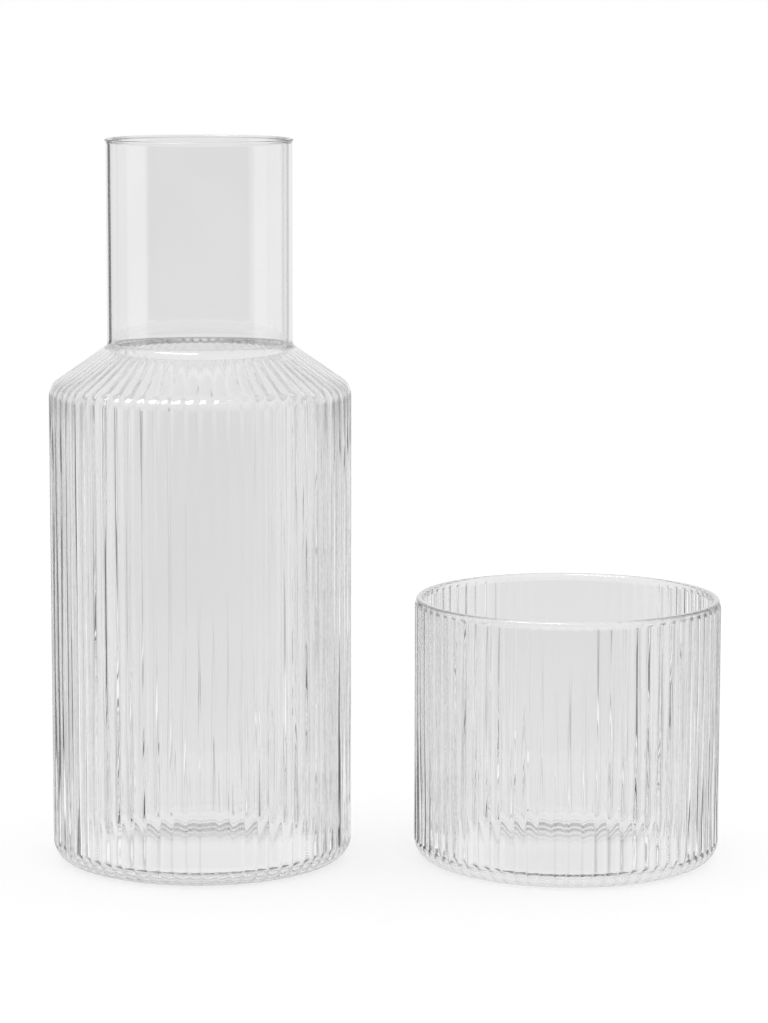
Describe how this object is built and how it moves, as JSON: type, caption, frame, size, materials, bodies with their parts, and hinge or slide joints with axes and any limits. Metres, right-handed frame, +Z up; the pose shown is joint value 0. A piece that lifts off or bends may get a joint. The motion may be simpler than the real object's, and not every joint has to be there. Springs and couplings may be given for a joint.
{
  "type": "bedside carafe with tumbler",
  "caption": "Clear fluted glass carafe with a straight plain neck, and the low fluted tumbler that caps it when turned over.",
  "frame": {"origin": "middle of the rectangle that the two vessels cover, on the surface that they stand on", "axes": "+Z up along both vessels' axes, +X from the carafe to the tumbler, -Y towards the viewer"},
  "size_m": [0.1876, 0.0858, 0.202],
  "materials": {
    "clear_glass": "clear, fire-polished, with a faint waviness from the blowing"
  },
  "bodies": {
    "carafe": {"carafe": "clear_glass"},
    "tumbler": {"tumbler": "clear_glass"}
  },
  "joints": [
    {"name": "tumbler_lift", "type": "slide", "parent": "carafe", "child": "tumbler", "axis": [0, 0, 1], "range_m": [0, 0.21]}
  ]
}
